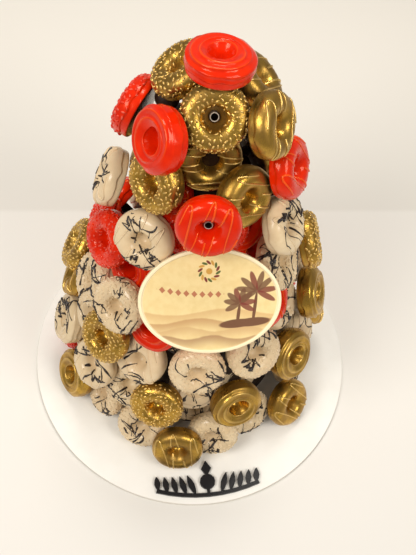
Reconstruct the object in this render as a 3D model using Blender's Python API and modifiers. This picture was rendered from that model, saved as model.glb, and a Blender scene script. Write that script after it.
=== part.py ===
"""A chocolate pyramid: a tower of moulded chocolate doughnuts round a dark
core, with an oval plaque leaning on its front, on a round white board.

Lengths in this file are millimetres. Meshes and objects are metres, +Z up,
with the origin at the centre of the board's underside and the front at -Y.
"""

import math

import bmesh
import bpy
import numpy as np
from mathutils import Matrix, Vector

MM = 0.001

# Board.
BOARD_RADIUS = 225.0
BOARD_THICKNESS = 6.0

# One doughnut: a ring with a flat back, upright wall, rounded face and a
# hollow that narrows like a funnel. Only a doughnut on a tube has a hole
# right through; the others are blind.
RING_RADIUS = 34.5
RING_HALF_THICKNESS = 11.5
RING_SIDES = 12
OPEN_SECTION = ((25.0, 11.5), (34.5, 2.0), (33.5, -11.5), (5.5, -11.5), (13.0, 9.0))
BLIND_SECTION = ((0.0, -6.0), (13.0, 9.0), (25.0, 11.5), (34.5, 2.0), (33.5, -11.5), (0.0, -11.5))

# A doughnut that is one with the core has fewer sides.
CORE_RING_SIDES = 8

# Tower: its upright axis, its outer outline and the core inside.
TOWER_AXIS = (-11.0, 34.0)
TOWER_HEIGHT = 529.0
CORE_DEPTH = 60.0
CORE_TOP = 380.0
NECK_HEIGHT = 40.0
SPINDLE_RADIUS = 6.0
SPINDLE_TOP = 496.0

# Plaque: half width, half height, thickness, and where its middle is.
PLAQUE_HALF = (77.0, 58.0)
PLAQUE_THICKNESS = 7.0
PLAQUE_AZIMUTH = 10.0
PLAQUE_REACH = 132.0
PLAQUE_HEIGHT = 325.0
PLAQUE_LEAN = 45.0

# Gaps kept between separate pieces.
GAP = 0.6
BOARD_GAP = 0.3

# Each doughnut: azimuth from the front, height of its face's middle over the
# board, step out from the tower's outline, how far its face looks up, finish,
# relief, and how far it is turned from the tower's own direction.
KEY_DOUGHNUTS = (
    (0, 556, 0, 100, "red", "swirl", 0),
    (4, 509, -20, 42, "gold", "sprinkles", 0),
    (-43, 484, 7, 26, "red", "swirl", -12),
    (6, 417, 11, 20, "red", "drizzle", 0),
    (-30, 366, 4, 24, "cream", "drizzle", 2),
    (-35, 262, 6, 28, "cream", "sprinkles", 0),
    (-39, 196, 6, 25, "gold", "sprinkles", 0),
    (-8, 116, 8, 23, "gold", "sprinkles", 0),
    (3, 37, 19, 21, "gold", "drizzle", 0),
    (8, 196, 5, 23, "cream", "sprinkles", 0),
    (35, 210, 5, 32, "cream", "sprinkles", 0),
    (58, 148, 5, 28, "gold", "swirl", 0),
    (27, 112, 6, 23, "gold", "swirl", 0),
    (55, 40, 12, 28, "gold", "drizzle", 0),
    (-53, 40, 0, 24, "gold", "swirl", 0),
    (70, 493, 1, 28, "gold", "drizzle", 0),
    (78, 426, 0, 24, "red", "drizzle", -8),
    (41, 420, -10, 24, "gold", "drizzle", 6),
)
OUTER_DOUGHNUTS = (
    (-112, 512, -12, 52, "gold", "sprinkles", 22),
    (128, 498, -3, 48, "gold", "drizzle", -24),
    (-103, 456, 13, 12, "red", "sprinkles", -9),
    (11, 453, -20, 28, "gold", "drizzle", -4),
    (-86, 360, 0, 24, "cream", "drizzle", 0),
    (-40, 413, -8, 24, "gold", "sprinkles", 0),
    (-54, 322, -3, 22, "red", "sprinkles", 0),
    (-83, 158, 0, 24, "gold", "drizzle", -4),
    (-71, 108, 2, 24, "cream", "swirl", 0),
    (-21, 178, -3, 30, "cream", "drizzle", 0),
    (-24, 90, -9, 30, "cream", "sprinkles", 0),
    (-38, 38, 5, 26, "cream", "sprinkles", 0),
    (-14, 36, 1, 26, "cream", "sprinkles", 0),
    (36, 38, -6, 26, "cream", "sprinkles", 0),
    (65, 372, -8, 24, "cream", "drizzle", 8),
    (62, 316, -1, 24, "cream", "sprinkles", 14),
    (83, 194, 4, 24, "gold", "swirl", 0),
    (-57, 228, -6, 24, "cream", "sprinkles", -8),
)
TUCKED_DOUGHNUTS = (
    (-100, 398, -12, 20, "gold", "swirl", 0),
    (-84, 270, -9, 22, "red", "sprinkles", 0),
    (-88, 206, -8, 22, "gold", "sprinkles", 0),
    (-42, 284, -20, 24, "red", "swirl", 0),
    (-58, 172, -6, 24, "cream", "swirl", 0),
    (-17, 250, -8, 28, "red", "swirl", 0),
    (-42, 112, -8, 28, "cream", "drizzle", 0),
    (-60, 98, -12, 26, "cream", "swirl", 0),
    (18, 38, -4, 26, "cream", "sprinkles", 0),
    (84, 294, -6, 22, "gold", "sprinkles", 0),
    (97, 108, 4, 24, "gold", "drizzle", 0),
    (50, 270, 0, 26, "red", "drizzle", 0),
    (66, 214, -14, 24, "cream", "drizzle", 0),
    (73, 128, 0, 24, "cream", "drizzle", 0),
    (74, 40, -18, 26, "cream", "sprinkles", 0),
    (14, 248, -10, 24, "red", "sprinkles", 0),
    (-4, 222, -14, 22, "cream", "swirl", 0),
)
# Doughnuts that are one with the core: an inner layer seen through the gaps.
INNER_DOUGHNUTS = (
    (-14, 364, -34, 20, "red", "sprinkles", 0),
    (20, 362, -34, 20, "red", "sprinkles", 0),
    (46, 362, -20, 22, "red", "swirl", 0),
    (-50, 384, -26, 20, "red", "drizzle", 0),
    (-62, 268, -20, 24, "red", "sprinkles", 0),
    (22, 196, -26, 22, "cream", "drizzle", 0),
    (42, 160, -26, 22, "cream", "drizzle", 0),
    (9, 112, -26, 22, "cream", "swirl", 0),
    (10, 300, -26, 22, "red", "sprinkles", 0),
    (56, 326, -24, 22, "red", "drizzle", 0),
    (178, 486, -6, 36, "cream", "swirl", 0),
    (130, 390, -26, 14, "gold", "swirl", 0),
    (38, 84, -24, 22, "cream", "swirl", 0),
    (10, 66, -26, 22, "cream", "swirl", 0),
)
# An inner or back doughnut is moved back in steps until it is clear.
SINK_STEP = 1.5
SINK_STEPS = 40
NEIGHBOUR_DISTANCE = 76.0

# How the doughnuts are spread: the rounds, how firmly each group keeps its
# place, the share of an overlap that is undone in a round, how hard it is to
# turn a doughnut by a push, and the pull back to where it started.
SPREAD_ROUNDS = 420
FIRMNESS = (4.0, 1.0, 0.4)
PUSH_SHARE = 0.8
CORE_PUSH_SHARE = 0.9
TURNING_ARM = 2000.0
CORE_TURNING_ARM = 900.0
PULL_HOME = 0.06
CORE_GAP = 1.2

# Rows of the back, also one with the core: height, how far the faces look up,
# and the azimuths on the right and the left side between which a row runs.
BACK_ROWS = (
    (42, 26, 91, 295),
    (108, 28, 109, 271),
    (174, 28, 95, 262),
    (238, 27, 90, 262),
    (302, 26, 99, 241),
    (372, 26, 90, 253),
    (424, 27, 105, 258),
)
BACK_SPACING = 74.0
BACK_STEP_IN = -13.0
FINISHES = ("cream", "gold", "red")
RELIEFS = ("sprinkles", "drizzle", "swirl")

# Doughnuts held on a tube that shows in the hole, counted in spread order.
TUBE_DOUGHNUTS = (1, 3, 21)
TUBE_RADIUS = 4.6
PEG_RADIUS = 6.4
PEG_START = 8.0
TUBE_START = 3.0
PEG_BITE = 6.0

# Ornament on the board's front rim: a bar, leaves leaning out from a middle
# disc, and a small lozenge over it.
ORNAMENT_AZIMUTH = 13.5
ORNAMENT_THICKNESS = 4.0
ORNAMENT_BAR = (211.5, 216.5)
ORNAMENT_HALF_SPAN = 19.0
BAR_STEPS = 8
LEAVES_A_SIDE = 5
LEAF_WIDTH = 8.5
LEAF_LEAN = 24.0
LONGEST_LEAF = 29.6
LEAF_SHORTENING = 2.4
FIRST_LEAF_AZIMUTH = 4.6
LEAF_SPACING = 3.4
DISC_RADIUS = 10.5
DISC_REACH = 196.0
STEM = (213.0, ((-2, 0), (2, 0), (2, 24), (-2, 24)))
LOZENGE = (189.0, ((0, 0), (7, 11), (0, 22), (-7, 11)))


def outline_radius(height):
    """Radius of the tower's outer outline at a height over the board."""
    t = height / TOWER_HEIGHT
    return 194.6 * (1 - t) * (1 - 2 * t) + 580.5 * t * (1 - t) + 56.3 * t * (2 * t - 1)


def core_radius(height):
    """Radius of the core, which ends in a narrow spindle."""
    cone = outline_radius(height) - CORE_DEPTH
    neck = np.clip((height - CORE_TOP) / NECK_HEIGHT, 0.0, 1.0)
    return cone * (1 - neck) + SPINDLE_RADIUS * neck


def depth_to_core(centre, normal):
    """How far behind a doughnut's middle a peg ends inside the core."""
    for depth in range(10, 90, 2):
        point = centre - depth * normal
        radius = math.hypot(point[0] - TOWER_AXIS[0], point[1] - TOWER_AXIS[1])
        if radius < core_radius(point[2]) - 1:
            return depth + PEG_BITE
    return 90.0


def direction(azimuth, look_up):
    """Unit vector out from the tower at an azimuth, raised by an angle."""
    a = math.radians(azimuth)
    e = math.radians(look_up)
    return np.array([math.sin(a) * math.cos(e), -math.cos(a) * math.cos(e), math.sin(e)])


def back_doughnuts():
    """The rows round the back, from the right side to the left side."""
    rows = []
    for number, (height, look_up, right, left) in enumerate(BACK_ROWS):
        around = (outline_radius(height) - 16) * math.radians(left - right)
        count = int(around // BACK_SPACING)
        for i in range(count):
            azimuth = right + (left - right) * (i + 0.5) / count
            pick = (i * 5 + number * 3) % 9
            relief = RELIEFS[(pick // 3 + i) % 3]
            rows.append((azimuth, height, BACK_STEP_IN, look_up, FINISHES[pick % 3], relief, 0))
    return tuple(rows)


def first_places(rows):
    """Centre and face direction of each doughnut before they are spread."""
    centres = []
    normals = []
    for azimuth, height, step_out, look_up, _finish, _relief, turn in rows:
        outward = direction(azimuth, 0)
        reach = 0.0 if look_up > 80 else outline_radius(height) - 4 + step_out
        normal = direction(azimuth + turn, look_up)
        face = np.array([*TOWER_AXIS, height]) + reach * outward
        centres.append(face - RING_HALF_THICKNESS * normal)
        normals.append(normal)
    return np.array(centres), np.array(normals)


def section_lines():
    """The doughnut's outer half section as straight lines: normal, distance."""
    lines = [(1.0, 0.0, RING_RADIUS), (0.0, 1.0, RING_HALF_THICKNESS), (0.0, -1.0, RING_HALF_THICKNESS)]
    for angle in (22.5, 45.0, 67.5):
        c = math.cos(math.radians(angle))
        s = math.sin(math.radians(angle))
        lines.append((c, s, 25 * c + 2 * s + 9.5))
    c = math.sqrt(0.5)
    lines.append((c, -c, 40 * c + 3))
    return np.array(lines)


def surface_points():
    """Points on the doughnut's outside, used to feel for neighbours."""
    rings = ((34.5, -8.5, 24), (34.5, -3.0, 24), (34.5, 2.0, 24), (33.8, 5.6, 24), (31.7, 8.7, 24),
             (28.6, 10.8, 24), (25.0, 11.5, 24), (33.6, -10.6, 24), (25.0, -11.5, 16),
             (13.0, 11.5, 8), (13.0, -11.5, 8))
    points = []
    for across, along, count in rings:
        for i in range(count):
            t = 2 * math.pi * i / count
            points.append((across * math.cos(t), across * math.sin(t), along))
    return np.array(points)


def side_axes(normals):
    """Two directions in each doughnut's plane."""
    side = np.cross(normals, np.array([0.0, 0.0, 1.0]))
    length = np.linalg.norm(side, axis=1, keepdims=True)
    side = np.where(length > 1e-3, side / np.maximum(length, 1e-9), np.array([1.0, 0.0, 0.0]))
    return side, np.cross(normals, side)


def spread(rows, firm):
    """Moves touching doughnuts apart until each has a small gap all round."""
    centres, normals = first_places(rows)
    home = centres.copy()
    home_normals = normals.copy()
    points = surface_points()
    lines = section_lines()
    each = np.arange(len(centres))

    plaque_normal = direction(PLAQUE_AZIMUTH, PLAQUE_LEAN)
    plaque_middle = np.array([*TOWER_AXIS, PLAQUE_HEIGHT]) + PLAQUE_REACH * direction(PLAQUE_AZIMUTH, 0)
    plaque_side = np.array([-plaque_normal[1], plaque_normal[0], 0.0]) / math.cos(math.radians(PLAQUE_LEAN))
    plaque_up = np.cross(plaque_normal, plaque_side)

    for step in range(SPREAD_ROUNDS):
        side, other = side_axes(normals)
        world = (centres[:, None] + points[None, :, 0, None] * side[:, None]
                 + points[None, :, 1, None] * other[:, None] + points[None, :, 2, None] * normals[:, None])
        push = np.zeros_like(centres)
        turn = np.zeros_like(centres)

        # Neighbour against neighbour: the deepest point of one in the other.
        between = np.linalg.norm(centres[:, None] - centres[None], axis=2)
        np.fill_diagonal(between, 999.0)
        i, j = np.nonzero(between < NEIGHBOUR_DISTANCE)
        relative = world[i] - centres[j][:, None]
        along = np.einsum("pkc,pc->pk", relative, normals[j])
        flat = relative - along[..., None] * normals[j][:, None]
        across = np.linalg.norm(flat, axis=2)
        distance = across[..., None] * lines[:, 0] + along[..., None] * lines[:, 1] - lines[:, 2]
        nearest_line = distance.argmax(axis=2)
        depth = GAP - distance.max(axis=2)
        pair = np.arange(len(i))
        k = depth.argmax(axis=1)
        touching = depth[pair, k] > 0
        i, j, k, pair = i[touching], j[touching], k[touching], pair[touching]
        line = lines[nearest_line[pair, k]]
        outward = flat[pair, k] / np.maximum(across[pair, k], 1e-6)[:, None]
        way = line[:, 0, None] * outward + line[:, 1, None] * normals[j]
        move = PUSH_SHARE * depth[pair, k][:, None] * way
        share = (firm[j] / (firm[i] + firm[j]))[:, None]
        point = world[i, k]
        np.add.at(push, i, share * move)
        np.add.at(push, j, (share - 1) * move)
        np.add.at(turn, i, np.cross(point - centres[i], share * move) / TURNING_ARM)
        np.add.at(turn, j, np.cross(point - centres[j], (share - 1) * move) / TURNING_ARM)

        # Against the board.
        low = 2 * BOARD_GAP - world[:, :, 2]
        k = low.argmax(axis=1)
        move = PUSH_SHARE * np.maximum(low[each, k], 0)[:, None] * np.array([0.0, 0.0, 1.0])
        push += move
        turn += np.cross(world[each, k] - centres, move) / TURNING_ARM

        # Against the core.
        from_axis = world[:, :, :2] - np.array(TOWER_AXIS)
        radius = np.linalg.norm(from_axis, axis=2)
        height = world[:, :, 2]
        deep = np.where(height < SPINDLE_TOP, core_radius(height) + CORE_GAP - radius, -1.0)
        k = deep.argmax(axis=1)
        outward = np.zeros_like(centres)
        outward[:, :2] = from_axis[each, k] / np.maximum(radius[each, k], 1.0)[:, None]
        move = CORE_PUSH_SHARE * np.maximum(deep[each, k], 0)[:, None] * outward
        push += move
        turn += np.cross(world[each, k] - centres, move) / CORE_TURNING_ARM

        # Against the plaque.
        relative = world - plaque_middle
        along = relative @ plaque_normal
        u = relative @ plaque_side / (PLAQUE_HALF[0] + 2 * GAP)
        v = relative @ plaque_up / (PLAQUE_HALF[1] + 2 * GAP)
        ring = np.hypot(u, v)
        edge = (ring - 1) * PLAQUE_HALF[1]
        face = np.abs(along) - PLAQUE_THICKNESS / 2 - 2 * GAP
        deep = -np.maximum(edge, face)
        k = deep.argmax(axis=1)
        ring = np.maximum(ring[each, k], 1e-6)
        by_edge = (u[each, k] / ring)[:, None] * plaque_side + (v[each, k] / ring)[:, None] * plaque_up
        by_face = np.sign(along[each, k])[:, None] * plaque_normal
        way = np.where((face > edge)[each, k][:, None], by_face, by_edge)
        move = PUSH_SHARE * np.maximum(deep[each, k], 0)[:, None] * way
        push += move
        turn += np.cross(world[each, k] - centres, move) / TURNING_ARM

        centres = centres + push
        normals = normals + np.cross(turn, normals)
        if step < SPREAD_ROUNDS / 2:
            centres = centres + PULL_HOME * (home - centres)
            normals = normals + PULL_HOME * (home_normals - normals)
        normals = normals / np.linalg.norm(normals, axis=1, keepdims=True)
    return centres, normals


def clearance(points, centre, normal):
    """How far points are from a doughnut's outside, at the nearest one."""
    relative = points - centre
    along = relative @ normal
    across = np.linalg.norm(relative - np.outer(along, normal), axis=1)
    lines = section_lines()
    distance = np.outer(across, lines[:, 0]) + np.outer(along, lines[:, 1]) - lines[:, 2]
    return distance.max(axis=1).min()


def points_on(centre, normal):
    """Points on the outside of a doughnut that stands at a place."""
    side, other = side_axes(normal[None])
    points = surface_points()
    return centre + points @ np.array([side[0], other[0], normal])


def sink(centre, normal, centres, normals):
    """Moves a doughnut back along its axis until it is clear of others."""
    for _step in range(SINK_STEPS):
        near = np.linalg.norm(centres - centre, axis=1) < NEIGHBOUR_DISTANCE
        points = points_on(centre, normal)
        gaps = [clearance(points, *other) for other in zip(centres[near], normals[near])]
        gaps += [clearance(points_on(*other), centre, normal) for other in zip(centres[near], normals[near])]
        if min(gaps, default=GAP) >= GAP:
            break
        centre = centre - SINK_STEP * normal
    return centre


def make_material(name, colour, roughness, metallic=0.0):
    """A plain Principled material."""
    material = bpy.data.materials.new(name)
    material.use_nodes = True
    shader = material.node_tree.nodes["Principled BSDF"]
    shader.inputs["Base Color"].default_value = (*colour, 1.0)
    shader.inputs["Roughness"].default_value = roughness
    shader.inputs["Metallic"].default_value = metallic
    return material


def make_object(name, mesh, material, collection):
    """An object in a collection, with its material."""
    item = bpy.data.objects.new(name, mesh)
    collection.objects.link(item)
    if not mesh.materials:
        mesh.materials.append(material)
    return item


def disc_mesh(name, radius, thickness, sides):
    """An upright closed cylinder round the origin."""
    mesh = bpy.data.meshes.new(name)
    shape = bmesh.new()
    bmesh.ops.create_cone(shape, cap_ends=True, segments=sides, radius1=radius * MM,
                          radius2=radius * MM, depth=thickness * MM)
    shape.to_mesh(mesh)
    shape.free()
    return mesh


def profile_mesh(name, points, closed):
    """A line of points in the XZ plane for a Screw modifier to turn."""
    mesh = bpy.data.meshes.new(name)
    corners = [(across * MM, 0.0, along * MM) for across, along in points]
    edges = [(i, i + 1) for i in range(len(points) - 1)]
    if closed:
        edges.append((len(points) - 1, 0))
    mesh.from_pydata(corners, edges, [])
    return mesh


def turn_profile(item, sides):
    """Turns an object's profile about its Z axis."""
    screw = item.modifiers.new("Turn", "SCREW")
    screw.axis = "Z"
    screw.angle = math.tau
    screw.steps = sides
    screw.render_steps = sides
    screw.use_merge_vertices = True
    screw.merge_threshold = 0.00001


def stand(item, centre, normal):
    """Puts an object at a place over the board with its Z axis along normal."""
    item.rotation_mode = "QUATERNION"
    item.rotation_quaternion = Vector(normal).to_track_quat("Z", "Y")
    item.location = (centre[0] * MM, centre[1] * MM, (centre[2] + BOARD_THICKNESS) * MM)


def peg(name, centre, normal, radius, sides, start, material, collection):
    """A straight peg from a doughnut's middle back into the core."""
    end = depth_to_core(centre, normal)
    mesh = disc_mesh(name, radius, end - start, sides)
    item = make_object(name, mesh, material, collection)
    stand(item, centre - (start + end) / 2 * normal, normal)


def join(target, helpers):
    """Joins a collection's objects to target in one Boolean union."""
    union = target.modifiers.new("Join", "BOOLEAN")
    union.operation = "UNION"
    union.operand_type = "COLLECTION"
    union.collection = helpers
    bpy.context.view_layer.update()
    evaluated = target.evaluated_get(bpy.context.evaluated_depsgraph_get())
    mesh = bpy.data.meshes.new_from_object(evaluated)
    target.modifiers.clear()
    target.data = mesh
    for helper in list(helpers.objects):
        bpy.data.objects.remove(helper)
    bpy.data.collections.remove(helpers)


def flat_piece(name, points, collection, material):
    """A flat outline, extruded upwards from the board's top."""
    curve = bpy.data.curves.new(name, "CURVE")
    curve.dimensions = "2D"
    curve.fill_mode = "BOTH"
    curve.extrude = ORNAMENT_THICKNESS / 2 * MM
    spline = curve.splines.new("POLY")
    spline.points.add(len(points) - 1)
    for corner, (x, y) in zip(spline.points, points):
        corner.co = (x * MM, y * MM, 0.0, 1.0)
    spline.use_cyclic_u = True
    drawn = bpy.data.objects.new(name, curve)
    collection.objects.link(drawn)
    bpy.context.view_layer.update()
    evaluated = drawn.evaluated_get(bpy.context.evaluated_depsgraph_get())
    mesh = bpy.data.meshes.new_from_object(evaluated)
    bpy.data.objects.remove(drawn)
    shape = bmesh.new()
    shape.from_mesh(mesh)
    bmesh.ops.remove_doubles(shape, verts=shape.verts, dist=0.00001)
    bmesh.ops.recalc_face_normals(shape, faces=shape.faces)
    shape.to_mesh(mesh)
    shape.free()
    mesh.materials.clear()
    item = make_object(name, mesh, material, collection)
    item.location.z = (BOARD_THICKNESS + BOARD_GAP + ORNAMENT_THICKNESS / 2) * MM
    return item


def on_board(azimuth, radius, across=0.0, along=0.0, lean=0.0):
    """A point of the board's top near a rim azimuth; along runs inwards."""
    a = math.radians(azimuth)
    b = math.radians(lean)
    right = across * math.cos(b) + along * math.sin(b)
    inward = along * math.cos(b) - across * math.sin(b)
    x = (radius - inward) * math.sin(a) + right * math.cos(a)
    y = -(radius - inward) * math.cos(a) + right * math.sin(a)
    return x, y


def leaf_points(azimuth, radius, length, width, lean):
    """A pointed leaf that stands inwards from the bar."""
    points = []
    for side in (1, -1):
        for i in range(4):
            t = i / 4 if side == 1 else 1 - i / 4
            half = side * width / 2 * math.sin(math.pi * t) if 0 < t < 1 else 0.0
            points.append(on_board(azimuth, radius, half, t * length, lean))
    return points


for old in list(bpy.data.objects):
    bpy.data.objects.remove(old)

part = bpy.data.collections.new("chocolate_pyramid")
bpy.context.scene.collection.children.link(part)

colours = {
    "cream": make_material("cream_icing", (0.80, 0.62, 0.43), 0.25),
    "gold": make_material("gold_finish", (0.50, 0.33, 0.07), 0.35, 0.8),
    "red": make_material("red_icing", (0.78, 0.03, 0.01), 0.2),
}

# Board.
board = make_object("board", disc_mesh("board", BOARD_RADIUS, BOARD_THICKNESS, 64),
                    make_material("board_white", (0.92, 0.89, 0.82), 0.45), part)
board.location.z = BOARD_THICKNESS / 2 * MM

# Doughnuts.
separate = KEY_DOUGHNUTS + OUTER_DOUGHNUTS + TUCKED_DOUGHNUTS
group_sizes = (len(KEY_DOUGHNUTS), len(OUTER_DOUGHNUTS), len(TUCKED_DOUGHNUTS))
centres, normals = spread(separate, np.repeat(np.array(FIRMNESS), group_sizes))

ring_meshes = {}
for finish, colour in colours.items():
    for shape, section in (("open", OPEN_SECTION), ("blind", BLIND_SECTION)):
        profile = profile_mesh(finish + "_" + shape, section, shape == "open")
        profile.materials.append(colour)
        ring_meshes[finish, shape] = profile

counts = {"cream": 0, "gold": 0, "red": 0}
for index, (row, centre, normal) in enumerate(zip(separate, centres, normals)):
    finish = row[4]
    shape = "open" if index in TUBE_DOUGHNUTS else "blind"
    counts[finish] += 1
    name = "{}_doughnut_{:02d}".format(finish, counts[finish])
    doughnut = make_object(name, ring_meshes[finish, shape], colours[finish], part)
    turn_profile(doughnut, RING_SIDES)
    stand(doughnut, centre, normal)

# Core: a turned cone with a spindle, the inner and back doughnuts, a peg
# through each of them, and the tubes that hold three of the outer ones.
core_points = [(0.0, SPINDLE_TOP), (SPINDLE_RADIUS, SPINDLE_TOP)]
for height in (420.0, 380.0, 320.0, 240.0, 160.0, 80.0):
    core_points.append((float(core_radius(height)), height))
core_points.append((float(core_radius(0.0)), BOARD_GAP))
core_points.append((0.0, BOARD_GAP))
core = make_object("core", profile_mesh("core", core_points, False),
                   make_material("dark_chocolate", (0.035, 0.018, 0.012), 0.5), part)
turn_profile(core, 24)
core.location = (TOWER_AXIS[0] * MM, TOWER_AXIS[1] * MM, BOARD_THICKNESS * MM)

helpers = bpy.data.collections.new("core_pieces")
bpy.context.scene.collection.children.link(helpers)
dark = core.data.materials[0]
ring_profile = profile_mesh("core_doughnut", BLIND_SECTION, False)
ring_profile.materials.append(dark)
for centre, normal in zip(*first_places(INNER_DOUGHNUTS + back_doughnuts())):
    centre = sink(centre, normal, centres, normals)
    piece = make_object("core_doughnut", ring_profile, dark, helpers)
    turn_profile(piece, CORE_RING_SIDES)
    stand(piece, centre, normal)
    peg("core_peg", centre, normal, PEG_RADIUS, 6, PEG_START, dark, helpers)
for index in TUBE_DOUGHNUTS:
    peg("core_tube", centres[index], normals[index], TUBE_RADIUS, 8, TUBE_START, dark, helpers)
join(core, helpers)

# Plaque: an oval slab that leans back on the doughnuts behind it.
plaque_mesh = disc_mesh("plaque", 1.0, PLAQUE_THICKNESS, 48)
plaque_mesh.transform(Matrix.Diagonal((PLAQUE_HALF[0], PLAQUE_HALF[1], 1.0, 1.0)))
plaque = make_object("plaque", plaque_mesh, make_material("ivory_chocolate", (0.85, 0.72, 0.42), 0.3), part)
plaque_place = np.array([*TOWER_AXIS, PLAQUE_HEIGHT]) + PLAQUE_REACH * direction(PLAQUE_AZIMUTH, 0)
stand(plaque, plaque_place, direction(PLAQUE_AZIMUTH, PLAQUE_LEAN))

# Ornament on the rim.
black = make_material("black_acrylic", (0.012, 0.012, 0.014), 0.25)
bar_points = []
outwards = range(BAR_STEPS + 1)
for radius, order in ((ORNAMENT_BAR[1], outwards), (ORNAMENT_BAR[0], reversed(outwards))):
    for i in order:
        azimuth = ORNAMENT_AZIMUTH + ORNAMENT_HALF_SPAN * (2 * i / BAR_STEPS - 1)
        bar_points.append(on_board(azimuth, radius))
ornament = flat_piece("rim_ornament", bar_points, part, black)
leaves = bpy.data.collections.new("ornament_pieces")
bpy.context.scene.collection.children.link(leaves)
for place in range(LEAVES_A_SIDE):
    for side in (-1, 1):
        azimuth = ORNAMENT_AZIMUTH + side * (FIRST_LEAF_AZIMUTH + LEAF_SPACING * place)
        length = LONGEST_LEAF - LEAF_SHORTENING * place
        leaf = leaf_points(azimuth, ORNAMENT_BAR[0] + 2, length, LEAF_WIDTH, side * LEAF_LEAN)
        flat_piece("leaf", leaf, leaves, black)
disc_points = []
for i in range(12):
    t = math.tau * i / 12
    across = DISC_RADIUS * math.cos(t)
    along = DISC_RADIUS * math.sin(t)
    disc_points.append(on_board(ORNAMENT_AZIMUTH, DISC_REACH, across, along))
flat_piece("middle_disc", disc_points, leaves, black)
stem_points = [on_board(ORNAMENT_AZIMUTH, STEM[0], *corner) for corner in STEM[1]]
flat_piece("stem", stem_points, leaves, black)
lozenge_points = [on_board(ORNAMENT_AZIMUTH, LOZENGE[0], *corner) for corner in LOZENGE[1]]
flat_piece("lozenge", lozenge_points, leaves, black)
join(ornament, leaves)

for item in part.objects:
    if "ornament" not in item.name:
        item.data.shade_smooth()
        item.data.set_sharp_from_angle(angle=math.radians(40))
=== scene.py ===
"""A chocolate pyramid: a tower of moulded chocolate doughnuts round a dark
core, with an oval plaque leaning on its front, on a round white board.

Lengths are metres unless a name or comment says millimetres.
"""

import math
import random

import bmesh
import bpy
import numpy as np
from mathutils import Matrix, Vector
from mathutils.bvhtree import BVHTree


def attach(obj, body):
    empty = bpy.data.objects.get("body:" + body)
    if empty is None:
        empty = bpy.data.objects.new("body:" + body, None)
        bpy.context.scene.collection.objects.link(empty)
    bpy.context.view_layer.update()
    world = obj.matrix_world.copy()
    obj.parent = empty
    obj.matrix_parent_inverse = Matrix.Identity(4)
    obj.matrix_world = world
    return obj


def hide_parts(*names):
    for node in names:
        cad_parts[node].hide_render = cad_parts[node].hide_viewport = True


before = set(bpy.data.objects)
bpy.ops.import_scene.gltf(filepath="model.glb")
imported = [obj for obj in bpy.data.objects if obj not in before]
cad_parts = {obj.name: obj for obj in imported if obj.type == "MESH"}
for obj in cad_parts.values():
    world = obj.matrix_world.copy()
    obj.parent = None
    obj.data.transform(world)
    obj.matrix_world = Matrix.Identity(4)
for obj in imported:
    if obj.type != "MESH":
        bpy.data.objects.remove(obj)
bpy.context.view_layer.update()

MM = 0.001

# --- Board ------------------------------------------------------------------
# Two white discs pressed together, with a fine dark line between them where
# they meet. Satin lacquer, cut with softly rounded edges. Their sides are painted grey as painted shade.


class Wire:
    """A node's output, on which Python's arithmetic adds Math nodes."""

    def __init__(self, finish, socket):
        self.finish = finish
        self.socket = socket

    def sum_up(self, operation, *values):
        return self.finish.node("ShaderNodeMath", {"operation": operation}, dict(enumerate(values)))

    def __add__(self, other):
        return self.sum_up("ADD", self, other)

    def __radd__(self, other):
        return self.sum_up("ADD", other, self)

    def __sub__(self, other):
        return self.sum_up("SUBTRACT", self, other)

    def __rsub__(self, other):
        return self.sum_up("SUBTRACT", other, self)

    def __mul__(self, other):
        return self.sum_up("MULTIPLY", self, other)

    def __rmul__(self, other):
        return self.sum_up("MULTIPLY", other, self)

    def sine(self):
        return self.sum_up("SINE", self)

    def between(self, low, high):
        """0 below low and 1 above high, with a soft step between them."""
        return self.finish.node("ShaderNodeMapRange", {"interpolation_type": "SMOOTHSTEP"},
                                {"Value": self, "From Min": low, "From Max": high})


class Finish:
    """A material, with its nodes made one by one."""

    def __init__(self, name, **sockets):
        self.material = bpy.data.materials.new(name)
        self.material.use_nodes = True
        self.tree = self.material.node_tree
        self.shader = self.tree.nodes["Principled BSDF"]
        self.dress(**sockets)

    def plug(self, socket, value):
        if isinstance(value, Wire):
            self.tree.links.new(value.socket, socket)
        else:
            socket.default_value = value

    def dress(self, **sockets):
        """Sets sockets of the shader, whose names have _ for a space."""
        for name, value in sockets.items():
            self.plug(self.shader.inputs[name.replace("_", " ")], value)

    def node(self, kind, settings=None, sockets=None, output=0):
        made = self.tree.nodes.new(kind)
        for name, value in (settings or {}).items():
            setattr(made, name, value)
        for name, value in (sockets or {}).items():
            self.plug(made.inputs[name], value)
        return Wire(self, made.outputs[output])

    def place(self):
        return self.node("ShaderNodeTexCoord", output="Object")

    def own(self, name):
        return self.node("ShaderNodeAttribute", {"attribute_name": name}, output="Fac")

    def noise(self, scale, detail=3.0, roughness=0.5, where=None):
        sockets = {"Vector": where or self.place(), "Scale": scale, "Detail": detail, "Roughness": roughness}
        return self.node("ShaderNodeTexNoise", None, sockets, "Fac")

    def blend(self, share, first, second):
        return self.node("ShaderNodeMix", {"data_type": "RGBA"}, {0: share, 6: first, 7: second}, 2)

    def bump(self, height, depth, strength=1.0):
        sockets = {"Height": height, "Distance": depth, "Strength": strength}
        return self.node("ShaderNodeBump", None, sockets, "Normal")


def made_object(name, mesh, *finishes):
    """A mesh as an object of the scene that rides on the part's body."""
    item = bpy.data.objects.new(name, mesh)
    bpy.context.scene.collection.objects.link(item)
    mesh.materials.clear()
    for finish in finishes:
        mesh.materials.append(finish.material)
    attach(item, "root")
    return item


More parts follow.
